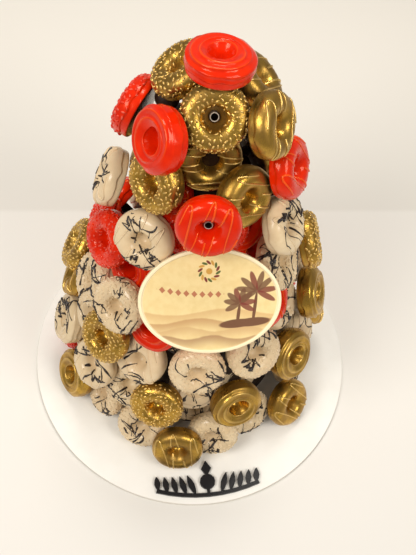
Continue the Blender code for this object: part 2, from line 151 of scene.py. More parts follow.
def spun(profile, steps):
    """A line of (radius, height) points turned a full turn about Z.

    A grid is bent round, because a spin gives its faces in another order
    each run, and the casting's sprinkles and strokes depend on that order.
    """
    shape = bmesh.new()
    bmesh.ops.create_grid(shape, x_segments=steps, y_segments=len(profile) - 1, size=0.5)
    row = shape.verts.layers.int.new("row")
    for vert in shape.verts:
        number = round((vert.co.y + 0.5) * (len(profile) - 1))
        radius, height = profile[number]
        angle = (vert.co.x + 0.5) * math.tau
        vert.co = (radius * math.cos(angle), radius * math.sin(angle), height)
        vert[row] = number
    bmesh.ops.remove_doubles(shape, verts=shape.verts, dist=0.0001)
    bmesh.ops.recalc_face_normals(shape, faces=shape.faces)
    return shape


# Radius and height in millimetres, from the middle of the top to that of the
# underside.
BOARD_PROFILE = (
    (0.0, 6.0), (223.6, 6.0), (224.6, 5.7), (225.0, 5.1), (225.0, 3.5), (224.6, 3.1), (223.9, 2.9),
    (223.9, 2.6), (224.6, 2.4), (225.0, 2.0), (225.0, 0.7), (224.3, 0.0), (0.0, 0.0),
)
BOARD_STEPS = 160
WHITE = (0.95, 0.93, 0.88, 1)
WARM_WHITE = (0.92, 0.895, 0.84, 1)
EDGE_SHADE_GREY = (0.72, 0.68, 0.61, 1)
SEAM_BROWN = (0.16, 0.13, 0.10, 1)

board_shape = spun(BOARD_PROFILE, BOARD_STEPS)
board_mesh = bpy.data.meshes.new("board_discs")
board_shape.to_mesh(board_mesh)
board_shape.free()
board_mesh.transform(Matrix.Scale(MM, 4))
board_mesh.shade_smooth()
board_mesh.set_sharp_from_angle(angle=math.radians(35))

lacquer = Finish("white_lacquer", Specular_IOR_Level=0.45)
dust = lacquer.noise(30.0, 4.0)
level = lacquer.node("ShaderNodeSeparateXYZ", None, {"Vector": lacquer.place()}, "Z")
seam = level.between(0.0022, 0.0026) - level.between(0.0029, 0.0033)
face_white = lacquer.blend(dust.between(0.35, 0.7), WHITE, WARM_WHITE)
# Painted shade: everything below the top face, the sides and underside, is painted grey.
side_shaded = lacquer.blend(1 - level.between(0.0052, 0.0060), face_white, EDGE_SHADE_GREY)
lacquer.dress(Base_Color=lacquer.blend(seam, side_shaded, SEAM_BROWN),
              Roughness=0.33 + 0.12 * dust,
              Normal=lacquer.bump(lacquer.noise(1400.0, 2.0), 0.00006, 0.5))
board = made_object("board_discs", board_mesh, lacquer)
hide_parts("board")

# --- Doughnut moulds --------------------------------------------------------
# Every doughnut is a solid chocolate casting from one of three moulds: with
# sprinkles, with piped zigzag lines, or with swirled icing. Its icing ends in
# a wavy edge half way down the wall. These shapes are in millimetres.

COLUMNS = 48
FULL_THICKNESS = 23.0
ICING_EDGE = -2.4
HOLE_EDGE = 10.5
ROD_SPACING = 4.5
ROD_HALF_LENGTHS = (2.3, 2.9)
ROD_HALF_WIDTH = 1.2
ROD_HALF_HEIGHT = 0.95
ROD_TRIES = 4000
PIPED_RADIUS = 1.15
PIPED_REACH = 33.2
# Radius, height and share of the icing edge's wave, from the hole outwards.
PLAIN_ROWS = (
    (0.0, -7.5, 0), (4.6, -7.3, 0), (7.2, -5.0, 0), (9.0, -0.5, 0), (11.0, 4.5, 0), (13.4, 8.2, 0),
    (16.8, 10.4, 0), (21.2, 11.1, 0), (25.6, 10.7, 0), (29.8, 9.0, 0.1), (32.6, 5.8, 0.3),
    (34.0, 2.0, 0.55), (34.3, -1.4, 0.9), (34.2, -3.1, 1), (33.1, -3.8, 1), (33.0, -6.2, 0.6),
    (33.0, -9.2, 0.1), (32.3, -11.1, 0), (30.6, -11.5, 0), (16.0, -11.5, 0), (0.0, -11.5, 0),
)
# The same with radius, height, wave, and the lift of a ridge or a furrow.
SWIRL_ROWS = (
    (0.0, -7.5, 0, 0), (4.6, -7.3, 0, 0), (7.2, -5.0, 0, 0), (9.0, -0.5, 0, 0), (10.8, 4.2, 0, 0),
    (12.6, 7.4, 0, 0), (14.2, 9.0, 0, 0.9), (15.5, 9.6, 0, -0.6), (18.0, 10.5, 0, 0.1),
    (21.0, 10.8, 0, 1.0), (22.3, 10.7, 0, -0.7), (25.0, 10.5, 0, 0.1), (27.8, 9.7, 0, 1.0),
    (29.1, 9.0, 0, -0.7), (31.6, 6.9, 0.2, 0.1), (33.1, 4.7, 0.4, 0.7), (33.7, 2.8, 0.5, -0.4),
    (34.1, -1.2, 0.9, 0), (34.2, -3.1, 1, 0), (33.1, -3.8, 1, 0), (33.0, -6.2, 0.6, 0),
    (33.0, -9.2, 0.1, 0), (32.3, -11.1, 0, 0), (30.6, -11.5, 0, 0), (16.0, -11.5, 0, 0),
    (0.0, -11.5, 0, 0),
)
OPEN_HOLE = ((5.2, -11.5), (5.3, -9.5), (6.2, -5.0))


def settled(item):
    """An object's mesh with its modifiers or curve worked out. It is removed."""
    bpy.context.scene.collection.objects.link(item)
    bpy.context.view_layer.update()
    evaluated = item.evaluated_get(bpy.context.evaluated_depsgraph_get())
    mesh = bpy.data.meshes.new_from_object(evaluated)
    bpy.data.objects.remove(item)
    return mesh


def cast_body(name, rows, wave_seed):
    """The doughnut's body with its icing edge, smoothed once."""
    shape = spun([row[:2] for row in rows], COLUMNS)
    row_of = shape.verts.layers.int["row"]
    crest = shape.verts.layers.float.new("crest")
    crease = shape.edges.layers.float.new("crease_edge")
    for vert in shape.verts:
        number = vert[row_of]
        radius, height, wave = rows[number][:3]
        lift = rows[number][3] if len(rows[number]) > 3 else 0.0
        angle = math.atan2(vert.co.y, vert.co.x)
        height += wave * (1.1 * math.sin(8 * angle + wave_seed) + 0.7 * math.sin(13 * angle + 2 * wave_seed))
        if lift:
            # A ridge runs part of the way round and then fades, like icing
            # that was pulled round with a knife, and drifts in and out.
            start = 0.8 * (number // 3) ** 2 + wave_seed
            share = 0.3 + 1.3 * abs(math.cos((angle - start) / 2))
            drift = 2.1 * math.cos(angle - start - 0.8) + 0.6 * math.sin(3 * angle + start)
            before = Vector(rows[number - 1][:2])
            after = Vector(rows[number + 1][:2])
            along = (after - before).normalized()
            radius += drift * along.x - share * lift * along.y
            height += drift * along.y + share * lift * along.x
            vert[crest] = max(lift, 0.0) * min(share, 1.0) * 0.4
        flat = Vector((math.cos(angle), math.sin(angle), 0.0)) * radius
        vert.co = (flat.x, flat.y, height)
    for edge in shape.edges:
        first, second = (vert[row_of] for vert in edge.verts)
        if first == second and (rows[first][2] == 1 or len(rows[first]) > 3 and rows[first][3] >= 0.7):
            edge[crease] = 0.7
    mesh = bpy.data.meshes.new(name)
    shape.to_mesh(mesh)
    shape.free()
    body = bpy.data.objects.new(name, mesh)
    smoothing = body.modifiers.new("Smoothing", "SUBSURF")
    smoothing.levels = 1
    smoothing.render_levels = 1
    return settled(body)


def piped(runs, thickness, sides=1):
    """Round lines through runs of (point, width) pairs, as one mesh."""
    curve = bpy.data.curves.new("piped_lines", "CURVE")
    curve.dimensions = "3D"
    curve.bevel_depth = thickness
    curve.bevel_resolution = sides
    curve.use_fill_caps = True
    for run in runs:
        spline = curve.splines.new("POLY")
        spline.points.add(len(run) - 1)
        for knot, (point, width) in zip(spline.points, run):
            knot.co = (*point, 1.0)
            knot.radius = width
    return settled(bpy.data.objects.new("piped_lines", curve))


def with_sprinkles(shape, crest, chance):
    """Rods pressed into the icing, as close as they fit at random."""
    iced = []
    for face in shape.faces:
        centre = face.calc_center_median()
        if centre.z > ICING_EDGE and centre.to_2d().length > HOLE_EDGE:
            iced.append(face)
    weights = [face.calc_area() for face in iced]
    places = [(face.calc_center_median(), face.normal.copy()) for face in iced]
    taken = []
    for point, normal in chance.choices(places, weights, k=ROD_TRIES):
        aside = Vector((chance.uniform(-1, 1), chance.uniform(-1, 1), chance.uniform(-1, 1)))
        point = point + aside - aside.project(normal)
        if all((point - other).length > ROD_SPACING for other in taken):
            taken.append(point)
            lean = Matrix.Rotation(chance.uniform(0, math.pi), 4, "Z")
            size = Matrix.Diagonal((chance.uniform(*ROD_HALF_LENGTHS), ROD_HALF_WIDTH, ROD_HALF_HEIGHT, 1.0))
            turn = normal.to_track_quat("Z", "Y").to_matrix().to_4x4()
            rod = bmesh.ops.create_uvsphere(shape, u_segments=7, v_segments=5, radius=1.0,
                                            matrix=Matrix.Translation(point) @ turn @ lean @ size)
            for vert in rod["verts"]:
                vert[crest] = 1.0


def with_zigzag(shape, crest, tree, passes, chance):
    """A line of icing piped to and fro over the face and down its edge."""
    runs = []
    run = []
    steps = passes * 26
    wobble = chance.uniform(0, 6)
    for i in range(steps + 1):
        along = i / steps
        x = -29 + 58 * along + 1.3 * math.sin(11 * along + wobble)
        reach = math.sqrt(max(PIPED_REACH ** 2 - x ** 2, 0.0))
        sway = math.sin(math.pi * passes * along)
        y = reach * math.tanh(1.7 * sway) / math.tanh(1.7)
        point, normal, _face, _distance = tree.ray_cast(Vector((x, y, 30.0)), Vector((0, 0, -1)))
        if point is None or point.z < 0.5:
            runs.append(run)
            run = []
        else:
            run.append((point + 0.1 * normal, 0.9 + 0.2 * math.sin(23 * along + wobble)))
    runs.append(run)
    lines = piped([run for run in runs if len(run) > 2], PIPED_RADIUS)
    before = len(shape.verts)
    shape.from_mesh(lines)
    shape.verts.ensure_lookup_table()
    for vert in shape.verts[before:]:
        vert[crest] = 0.5


def cast_mould(name, rows, relief, seed):
    """One mould's casting in metres, and a tree to find its surface with."""
    chance = random.Random(seed)
    body = cast_body(name, rows, seed)
    shape = bmesh.new()
    shape.from_mesh(body)
    crest = shape.verts.layers.float["crest"]
    if relief == "sprinkles":
        with_sprinkles(shape, crest, chance)
    if relief == "zigzag":
        with_zigzag(shape, crest, BVHTree.FromBMesh(shape), 5 + seed % 2, chance)
    depth = shape.verts.layers.float.new("depth")
    for vert in shape.verts:
        vert[depth] = 0.5 - vert.co.z / FULL_THICKNESS
    bmesh.ops.scale(shape, vec=(MM, MM, MM), verts=shape.verts)
    mesh = bpy.data.meshes.new(name)
    shape.to_mesh(mesh)
    mesh.shade_smooth()
    tree = BVHTree.FromBMesh(shape)
    shape.free()
    return mesh, tree


def opened(rows):
    """The same rows with a hole right through, for a doughnut on a tube."""
    start = tuple((*point, *(0,) * (len(rows[0]) - 2)) for point in OPEN_HOLE)
    return start + rows[3:-1] + start[:1]


moulds = {
    "sprinkles": cast_mould("sprinkles", PLAIN_ROWS, "sprinkles", 1),
    "zigzag": cast_mould("zigzag", PLAIN_ROWS, "zigzag", 2),
    "swirl": cast_mould("swirl", SWIRL_ROWS, "swirl", 3),
    "open sprinkles": cast_mould("open_sprinkles", opened(PLAIN_ROWS), "sprinkles", 4),
    "open zigzag": cast_mould("open_zigzag", opened(PLAIN_ROWS), "zigzag", 5),
}

# --- Doughnut finishes ------------------------------------------------------
# Gold lustre dust brushed over the chocolate, glossy red cocoa butter, and
# glossy cream-white chocolate. The gold and the red thin out round the flat
# back, where the bare chocolate shows.

CHOCOLATE = (0.055, 0.022, 0.011, 1)
HIGHLIGHT_GOLD = (0.86, 0.60, 0.20, 1)
GOLD = (0.54, 0.325, 0.055, 1)
WARM_GOLD = (0.47, 0.27, 0.045, 1)
OLD_GOLD = (0.29, 0.17, 0.045, 1)
WORN_GOLD = (0.16, 0.07, 0.03, 1)
RED = (0.76, 0.024, 0.001, 1)
DEEP_RED = (0.62, 0.014, 0.001, 1)
DARK_RED = (0.66, 0.012, 0.001, 1)
FROSTED_HIGHLIGHT_RED = (0.95, 0.36, 0.26, 1)
ORANGE = (0.95, 0.16, 0.015, 1)
CREAM = (0.81, 0.655, 0.425, 1)
DEEP_CREAM = (0.71, 0.54, 0.325, 1)
WARM_CREAM = (0.72, 0.545, 0.34, 1)

gold = Finish("gold_lustre", Specular_IOR_Level=0.5)
patches = gold.noise(55.0, 3.0)
brushed = gold.node("ShaderNodeMapping", None, {"Vector": gold.place(), "Scale": (900.0, 160.0, 160.0)})
streaks = gold.noise(1.0, 2.0, where=brushed)
crest = gold.own("crest")
bare = gold.own("depth").between(0.9, 1.02)
thin = (patches + 0.35 * streaks).between(0.45, 0.9)
dusty = gold.blend(thin, GOLD, OLD_GOLD)
warm = gold.blend(gold.own("tint") * 0.5, dusty, WARM_GOLD)
# Painted highlight: the raised sprinkles, piped lines and swirl ridges are painted a lighter gold.
crest_highlight = gold.blend(crest.between(0.1, 0.5) * 0.7, warm, HIGHLIGHT_GOLD)
gold.dress(Base_Color=gold.blend(bare, crest_highlight, WORN_GOLD),
           Metallic=0.94 - 0.8 * bare,
           Roughness=0.2 + 0.2 * thin + 0.08 * streaks,
           Normal=gold.bump(streaks * 0.5 + gold.noise(420.0, 3.0), 0.00035, 0.6))

red = Finish("red_cocoa_butter", Specular_IOR_Level=0.35, Specular_Tint=(1.0, 0.45, 0.25, 1),
             Coat_Weight=0.2, Coat_Roughness=0.05)
patches = red.noise(70.0, 3.0)
crest = red.own("crest")
bare = red.own("depth").between(0.955, 0.995)
mottled = red.blend(patches.between(0.35, 0.7), RED, DEEP_RED)
tinted = red.blend(red.own("tint") * 0.5, mottled, DARK_RED)
# Whitening on the sprinkles' crests: partly bloom of the cocoa butter, partly a painted highlight.
bloom_and_highlight = crest.between(0.7, 1.0) * red.noise(260.0, 3.0).between(0.45, 0.62) * 0.28
frosted_and_highlit = red.blend(bloom_and_highlight, tinted, FROSTED_HIGHLIGHT_RED)
on_lines = crest.between(0.2, 0.5) - crest.between(0.55, 0.8)
lined = red.blend(on_lines * 0.45, frosted_and_highlit, ORANGE)
red.dress(Base_Color=red.blend(bare, lined, CHOCOLATE),
          Roughness=0.14 + 0.1 * patches + 0.2 * bloom_and_highlight,
          Normal=red.bump(red.noise(300.0, 2.0), 0.0003, 0.35))

cream = Finish("cream_chocolate", Specular_IOR_Level=0.42)
patches = cream.noise(60.0, 3.0)
pale = cream.blend(patches.between(0.3, 0.7), CREAM, DEEP_CREAM)
warm = cream.blend(cream.own("tint") * 0.6, pale, WARM_CREAM)
cream.dress(Base_Color=warm, Roughness=0.14 + 0.14 * patches,
            Normal=cream.bump(cream.noise(330.0, 2.0), 0.0003, 0.35))

finishes = {"cream": (cream, "cream_icing"), "gold": (gold, "gold_finish"), "red": (red, "red_icing")}

# --- Separate doughnuts -----------------------------------------------------
# The outer doughnuts, each set on the core with its face out. Each takes the
# place of its own solid, turned at random about its hole unless set below.

SPRINKLED = {"cream": (2, 3, 4, 8, 9, 10, 11, 13, 14, 18, 21), "gold": (1, 2, 3, 11, 14, 18, 19),
             "red": (5, 6, 7, 11)}
ZIGZAG = {"cream": (1, 5, 7, 12, 16, 19, 20), "gold": (4, 7, 9, 10, 12, 13, 15, 20), "red": (3, 4, 10)}
ON_TUBES = ("gold_doughnut_01", "red_doughnut_03", "gold_doughnut_13")
TURNS = {"red_doughnut_03": -12, "gold_doughnut_13": 84, "gold_doughnut_04": 12, "gold_doughnut_09": -35,
         "gold_doughnut_10": 60, "red_doughnut_01": 200, "red_doughnut_04": 20}


def stand_of(node):
    """Middle and face direction of a doughnut, found from its solid."""
    corners = np.array([vertex.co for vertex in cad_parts[node].data.vertices])
    corners = np.unique(np.round(corners, 6), axis=0)
    middle = corners.mean(axis=0)
    normal = np.linalg.eigh(np.cov((corners - middle).T))[1][:, 0]
    along = (corners - middle) @ normal
    across = np.linalg.norm(corners - middle - np.outer(along, normal), axis=1)
    if across[along > along.max() - MM].max() > across[along < along.min() + MM].max():
        normal = -normal
        along = -along
    return Vector(middle + (along.max() + along.min()) / 2 * normal), Vector(normal)


def placing(middle, normal, turn):
    """Stands a casting at a place, with its Y axis up the slope."""
    across = Vector((0, 0, 1)).cross(normal).normalized()
    axes = Matrix((across, normal.cross(across), normal)).transposed().to_4x4()
    return Matrix.Translation(middle) @ axes @ Matrix.Rotation(math.radians(turn), 4, "Z")


def set_down(mould, place, tint):
    """A copy of a casting at its place, with its own depth of colour."""
    mesh = mould.copy()
    mesh.transform(place)
    mesh.attributes.new("tint", "FLOAT", "POINT").data.foreach_set("value", [tint] * len(mesh.vertices))
    return mesh


def relief_of(finish, number):
    if number in SPRINKLED[finish]:
        return "sprinkles"
    return "zigzag" if number in ZIGZAG[finish] else "swirl"


chance = random.Random(11)
cream_places = []
tube_places = []
for finish in finishes:
    names = sorted(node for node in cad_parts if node.startswith(finish + "_doughnut"))
    for number, name in enumerate(names, start=1):
        middle, normal = stand_of(name)
        relief = relief_of(finish, number)
        if name in ON_TUBES:
            relief = "open " + relief
            tube_places.append((middle, normal))
        place = placing(middle, normal, TURNS.get(name, chance.uniform(0, 360)))
        colour, slot = finishes[finish]
        piece = made_object(name + "_casting", set_down(moulds[relief][0], place, chance.random()), colour)
        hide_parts(name)
        if finish == "cream":
            cream_places.append((name, relief, place))

# --- Core and its doughnuts -------------------------------------------------
# A cone of dark chocolate that carries the doughnuts, with an inner layer
# that shows in the gaps and the rows round the back. Lengths in millimetres.

TOWER_AXIS = (-11.0, 34.0)
TOWER_HEIGHT = 529.0
CORE_DEPTH = 60.0
CORE_TOP = 380.0
NECK_HEIGHT = 40.0
SPINDLE_RADIUS = 6.0
BOARD_TOP = 6.0
HALF_THICKNESS = 11.5
FACE_INSET = 4.0
ROW_INSET = 16.0
BACK_STEP_OUT = -13.0
GAP = 0.6
SPACING = 74.0
NEIGHBOUR_DISTANCE = 76.0
PUSH_STEP = 1.5
PUSH_STEPS = 40
# Azimuth, height, step out, look up, finish and relief of the inner layer.
INNER = (
    (-14, 364, -34, 20, "red", "sprinkles"), (20, 362, -34, 20, "red", "sprinkles"),
    (46, 362, -20, 22, "red", "swirl"), (-50, 384, -26, 20, "red", "zigzag"),
    (-62, 268, -20, 24, "red", "sprinkles"), (22, 196, -26, 22, "cream", "zigzag"),
    (42, 160, -26, 22, "cream", "zigzag"), (9, 112, -26, 22, "cream", "swirl"),
    (10, 300, -26, 22, "red", "sprinkles"), (56, 326, -24, 22, "red", "zigzag"),
    (178, 486, -6, 36, "cream", "swirl"), (130, 390, -26, 14, "gold", "swirl"),
    (38, 84, -24, 22, "cream", "swirl"), (10, 66, -26, 22, "cream", "swirl"),
)
# Height, look up, and the azimuths where a row of the back starts and ends.
BACK_ROWS = ((42, 26, 91, 295), (108, 28, 109, 271), (174, 28, 95, 262), (238, 27, 90, 262),
             (302, 26, 99, 241), (372, 26, 90, 253), (424, 27, 105, 258))


def outline_radius(height):
    """Radius of the tower's outer outline at a height over the board."""
    t = height / TOWER_HEIGHT
    return 194.6 * (1 - t) * (1 - 2 * t) + 580.5 * t * (1 - t) + 56.3 * t * (2 * t - 1)


def core_radius(height):
    """Radius of the core, which narrows to a spindle."""
    neck = min(max((height - CORE_TOP) / NECK_HEIGHT, 0), 1)
    return (outline_radius(height) - CORE_DEPTH) * (1 - neck) + SPINDLE_RADIUS * neck


def direction(azimuth, look_up):
    """The way out from the tower's axis, with azimuth 0 at the front."""
    a = math.radians(azimuth)
    e = math.radians(look_up)
    return np.array([math.sin(a) * math.cos(e), -math.cos(a) * math.cos(e), math.sin(e)])


def back_rows():
    """The rows round the back, from the right side to the left side."""
    rows = []
    for number, (height, look_up, right, left) in enumerate(BACK_ROWS):
        around = (outline_radius(height) - ROW_INSET) * math.radians(left - right)
        count = int(around // SPACING)
        for i in range(count):
            azimuth = right + (left - right) * (i + 0.5) / count
            pick = (i * 5 + number * 3) % 9
            finish = ("cream", "gold", "red")[pick % 3]
            relief = ("sprinkles", "zigzag", "swirl")[(pick // 3 + i) % 3]
            rows.append((azimuth, height, BACK_STEP_OUT, look_up, finish, relief))
    return tuple(rows)


def support_lines():
    """The casting's outer half section as straight lines: normal, distance."""
    lines = [(1.0, 0.0, 34.5), (0.0, 1.0, HALF_THICKNESS), (0.0, -1.0, HALF_THICKNESS)]
    for angle in (22.5, 45.0, 67.5):
        c = math.cos(math.radians(angle))
        s = math.sin(math.radians(angle))
        lines.append((c, s, 25 * c + 2 * s + 9.5))
    c = math.sqrt(0.5)
    lines.append((c, -c, 40 * c + 3))
    return np.array(lines)


def feelers():
    """Points on the casting's outside, used to feel for neighbours."""
    rings = ((34.5, -8.5, 24), (34.5, -3.0, 24), (34.5, 2.0, 24), (33.8, 5.6, 24), (31.7, 8.7, 24),
             (28.6, 10.8, 24), (25.0, 11.5, 24), (33.6, -10.6, 24), (25.0, -11.5, 16),
             (13.0, 11.5, 8), (13.0, -11.5, 8))
    points = []
    for across, along, count in rings:
        for i in range(count):
            t = math.tau * i / count
            points.append((across * math.cos(t), across * math.sin(t), along))
    return np.array(points)


def clearance(points, middle, normal):
    """How far points are from a casting's outside, at the nearest one."""
    relative = points - middle
    along = relative @ normal
    across = np.linalg.norm(relative - np.outer(along, normal), axis=1)
    lines = support_lines()
    distance = np.outer(across, lines[:, 0]) + np.outer(along, lines[:, 1]) - lines[:, 2]
    return distance.max(axis=1).min()


def points_on(middle, normal):
    """The feelers of a casting that stands at a place."""
    side = np.cross(normal, (0.0, 0.0, 1.0))
    side = side / np.linalg.norm(side)
    return middle + feelers() @ np.array([side, np.cross(normal, side), normal])


def pressed_back(middle, normal, outer):
    """A doughnut's middle once it is moved back clear of the outer ones."""
    near = [other for other in outer if np.linalg.norm(other[0] - middle) < NEIGHBOUR_DISTANCE]
    for _step in range(PUSH_STEPS):
        points = points_on(middle, normal)
        gaps = [clearance(points, *other) for other in near]
        gaps += [clearance(points_on(*other), middle, normal) for other in near]
        if min(gaps, default=GAP) >= GAP:
            break
        middle = middle - PUSH_STEP * normal
        near = [other for other in outer if np.linalg.norm(other[0] - middle) < NEIGHBOUR_DISTANCE]
    return middle


def joined(name, meshes):
    """Several meshes as one, which keeps their attributes."""
    shape = bmesh.new()
    for mesh in meshes:
        shape.from_mesh(mesh)
    together = bpy.data.meshes.new(name)
    shape.to_mesh(together)
    shape.free()
    together.shade_smooth()
    return together


outer = []
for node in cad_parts:
    if "_doughnut_" in node:
        middle, normal = stand_of(node)
        outer.append((np.array(middle) / MM - (0, 0, BOARD_TOP), np.array(normal)))

fused = {}
pegs = []
for layer, rows in (("inner", INNER), ("back", back_rows())):
    for azimuth, height, step_out, look_up, finish, relief in rows:
        normal = direction(azimuth, look_up)
        reach = outline_radius(height) - FACE_INSET + step_out
        face = np.array([*TOWER_AXIS, height]) + reach * direction(azimuth, 0)
        middle = pressed_back(face - HALF_THICKNESS * normal, normal, outer)
        spot = Vector((middle + (0, 0, BOARD_TOP)) * MM)
        place = placing(spot, Vector(normal), chance.uniform(0, 360))
        casting = set_down(moulds[relief][0], place, chance.random())
        fused.setdefault((layer, finish), []).append(casting)
        pegs.append((spot, Vector(normal)))
        if finish == "cream":
            cream_places.append(("back", relief, place))

DARK_CHOCOLATE = (0.012, 0.005, 0.003, 1)
WORN_CHOCOLATE = (0.036, 0.015, 0.008, 1)

dark = Finish("dark_chocolate", Specular_IOR_Level=0.22)
grain = dark.noise(90.0, 4.0)
dark.dress(Base_Color=dark.blend(grain, DARK_CHOCOLATE, WORN_CHOCOLATE),
           Roughness=0.42 + 0.2 * grain,
           Normal=dark.bump(dark.noise(160.0, 4.0), 0.002, 0.5))

# The core's rounded top and neck, then its wall down to just over the board.
CORE_NECK = [(0.0, 496.0), (5.0, 496.0), (6.0, 495.0), (17.0, 488.0), (25.0, 470.0), (31.0, 445.0)]
NECK_RADIUS = 33.0
CORE_FOOT = 0.5
PEG_RADIUS = 6.0
PEG_LENGTH = 36.0
PEG_SET_BACK = 30.0
# Dark dabs behind the crevices, put there as painted shade so the gaps show dark: azimuth, reach, height and
# radius.
GAP_SHADE_DABS = ((-150, 52, 388, 29), (-80, 60, 368, 25), (-118, 46, 420, 26), (-103, 50, 473, 13))

core_wall = [(max(core_radius(height), NECK_RADIUS), height) for height in range(420, 0, -20)]
core_profile = CORE_NECK + core_wall + [(core_radius(0.0), CORE_FOOT), (0.0, CORE_FOOT)]
core_shape = spun(core_profile, COLUMNS)
bmesh.ops.scale(core_shape, vec=(MM, MM, MM), verts=core_shape.verts)
bmesh.ops.translate(core_shape, vec=(TOWER_AXIS[0] * MM, TOWER_AXIS[1] * MM, BOARD_TOP * MM),
                    verts=core_shape.verts)
for spot, normal in pegs:
    turn = normal.to_track_quat("Z", "Y").to_matrix().to_4x4()
    peg_place = Matrix.Translation(spot - PEG_SET_BACK * MM * normal) @ turn
    bmesh.ops.create_cone(core_shape, cap_ends=True, segments=10, radius1=PEG_RADIUS * MM,
                          radius2=PEG_RADIUS * MM, depth=PEG_LENGTH * MM, matrix=peg_place)
# Painted shade: dark dabs that fill the gaps behind the crevices.
for azimuth, reach, height, radius in GAP_SHADE_DABS:
    spot = Vector((*TOWER_AXIS, height + BOARD_TOP)) + reach * Vector(direction(azimuth, 0))
    bmesh.ops.create_icosphere(core_shape, subdivisions=3, radius=radius * MM,
                               matrix=Matrix.Translation(spot * MM))
core_mesh = bpy.data.meshes.new("core_cone")
core_shape.to_mesh(core_mesh)
core_shape.free()
core_mesh.shade_smooth()
core_mesh.set_sharp_from_angle(angle=math.radians(40))
core = made_object("core_cone", core_mesh, dark)
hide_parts("core")
for (layer, finish), meshes in fused.items():
    colour, slot = finishes[finish]
    name = f"{finish}_{layer}_castings"
    castings = made_object(name, joined(name, meshes), colour)
    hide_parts("core")

# --- Tubes ------------------------------------------------------------------
# Thin pale tubes that hold three of the doughnuts on the core. Their cut ends
# show in the holes, and their bores are painted dark as painted shade. Lengths in millimetres.

# Radius and height of a tube's section, from its foot to the floor of its bore.
TUBE_PROFILE = ((0.0, -30.0), (4.6, -30.0), (4.6, -3.4), (4.4, -3.1), (3.9, -3.1), (3.7, -3.4), (3.7, -24.0),
                (0.0, -24.0))
TUBE_STEPS = 20
BORE_RADIUS = 3.75
BORE_TOP = -3.6
TUBE_WHITE = (0.62, 0.57, 0.50, 1)
TUBE_GREY = (0.48, 0.43, 0.37, 1)

tube_shape = bmesh.new()
for middle, normal in tube_places:
    turn = normal.to_track_quat("Z", "Y").to_matrix().to_4x4()
    one_shape = spun(TUBE_PROFILE, TUBE_STEPS)
    one_tube = bpy.data.meshes.new("one_tube")
    one_shape.to_mesh(one_tube)
    one_shape.free()
    one_tube.transform(Matrix.Translation(middle) @ turn @ Matrix.Scale(MM, 4))
    tube_shape.from_mesh(one_tube)
tube_mesh = bpy.data.meshes.new("holding_tubes")
tube_shape.to_mesh(tube_mesh)
tube_shape.free()
tube_mesh.shade_smooth()
tube_mesh.set_sharp_from_angle(angle=math.radians(50))
tubing = Finish("pale_tubing", Roughness=0.35)
tubing.dress(Base_Color=tubing.blend(tubing.noise(500.0), TUBE_WHITE, TUBE_GREY))
tubes = made_object("holding_tubes", tube_mesh, tubing, dark)
# Painted shade: the wall and floor of each bore take the dark chocolate finish.
for polygon in tube_mesh.polygons:
    offsets = [Vector(polygon.center) - middle for middle, _normal in tube_places]
    middle, normal = tube_places[min(range(len(offsets)), key=lambda i: offsets[i].length)]
    offset = Vector(polygon.center) - middle
    depth = offset.dot(normal)
    aside = (offset - depth * normal).length
    polygon.material_index = int(aside < BORE_RADIUS * MM and depth < BORE_TOP * MM)
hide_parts("core")

# --- Chocolate strokes ------------------------------------------------------
# Thin dark chocolate flicked over the cream doughnuts: long strokes that turn
# sharply, with a few tangles and short dabs, set where they landed.

STROKE_WIDTH = 0.0007
STROKE_STEP = 0.0011
STROKE_LIFT = 0.00012
LONGEST_JUMP = 0.004
FLICK_SPREAD = 0.028
FLICK_HEIGHT = 0.08
LOWEST_STROKE = -0.0112
STROKE_HOLE = 0.009
INK = (0.010, 0.006, 0.006, 1)
PALE_INK = (0.028, 0.014, 0.011, 1)


def flicked(chance, tree):
    """Runs of points on a casting's surface where one flick has landed."""
    lean = math.radians(chance.uniform(0, 62))
    around = chance.uniform(0, math.tau)
    towards = Vector((math.sin(lean) * math.cos(around), math.sin(lean) * math.sin(around), math.cos(lean)))
    right = towards.orthogonal().normalized()
    up = towards.cross(right)
    spot = Vector((chance.uniform(-1, 1), chance.uniform(-1, 1))) * FLICK_SPREAD
    heading = math.atan2(-spot.y, -spot.x) + chance.uniform(-0.7, 0.7)
    tangle = chance.random() < 0.35
    thickness = chance.choice((0.8, 1.0, 1.3, 1.6))
    runs = []
    for _leg in range(chance.choice((1, 2, 2, 3)) + 4 * tangle):
        length = chance.uniform(0.005, 0.012) if tangle else chance.uniform(0.016, 0.05)
        bend = chance.uniform(-45, 45)
        run = []
        swell = chance.uniform(0, math.tau)
        for step in range(max(int(length / STROKE_STEP), 3)):
            heading += bend * STROKE_STEP + chance.uniform(-0.12, 0.12)
            spot = spot + Vector((math.cos(heading), math.sin(heading))) * STROKE_STEP
            origin = towards * FLICK_HEIGHT + right * spot.x + up * spot.y
            jitter = chance.uniform(-0.1, 0.1)
            point, normal, _face, _distance = tree.ray_cast(origin, -towards)
            lost = point is None or point.z < LOWEST_STROKE or point.xy.length < STROKE_HOLE
            if lost or run and (point - run[-1][0]).length > LONGEST_JUMP:
                runs.append(run)
                run = []
            if not lost:
                width = thickness * (1.0 + 0.45 * math.sin(0.35 * step + swell)) + jitter
                run.append((point + STROKE_LIFT * normal, width))
        runs.append(run)
        heading += chance.choice((-1, 1)) * chance.uniform(1.7, 2.9)
    return [run for run in runs if len(run) > 2]


stroke_groups = {"front": [], "back": []}
for number, (name, relief, place) in enumerate(cream_places):
    chance = random.Random(number)
    tree = moulds[relief][1]
    runs = []
    for _flick in range(chance.choice((6, 8, 9, 11))):
        runs += flicked(chance, tree)
    if runs:
        strokes = piped(runs, STROKE_WIDTH)
        strokes.transform(place)
        stroke_groups["back" if name == "back" else "front"].append(strokes)

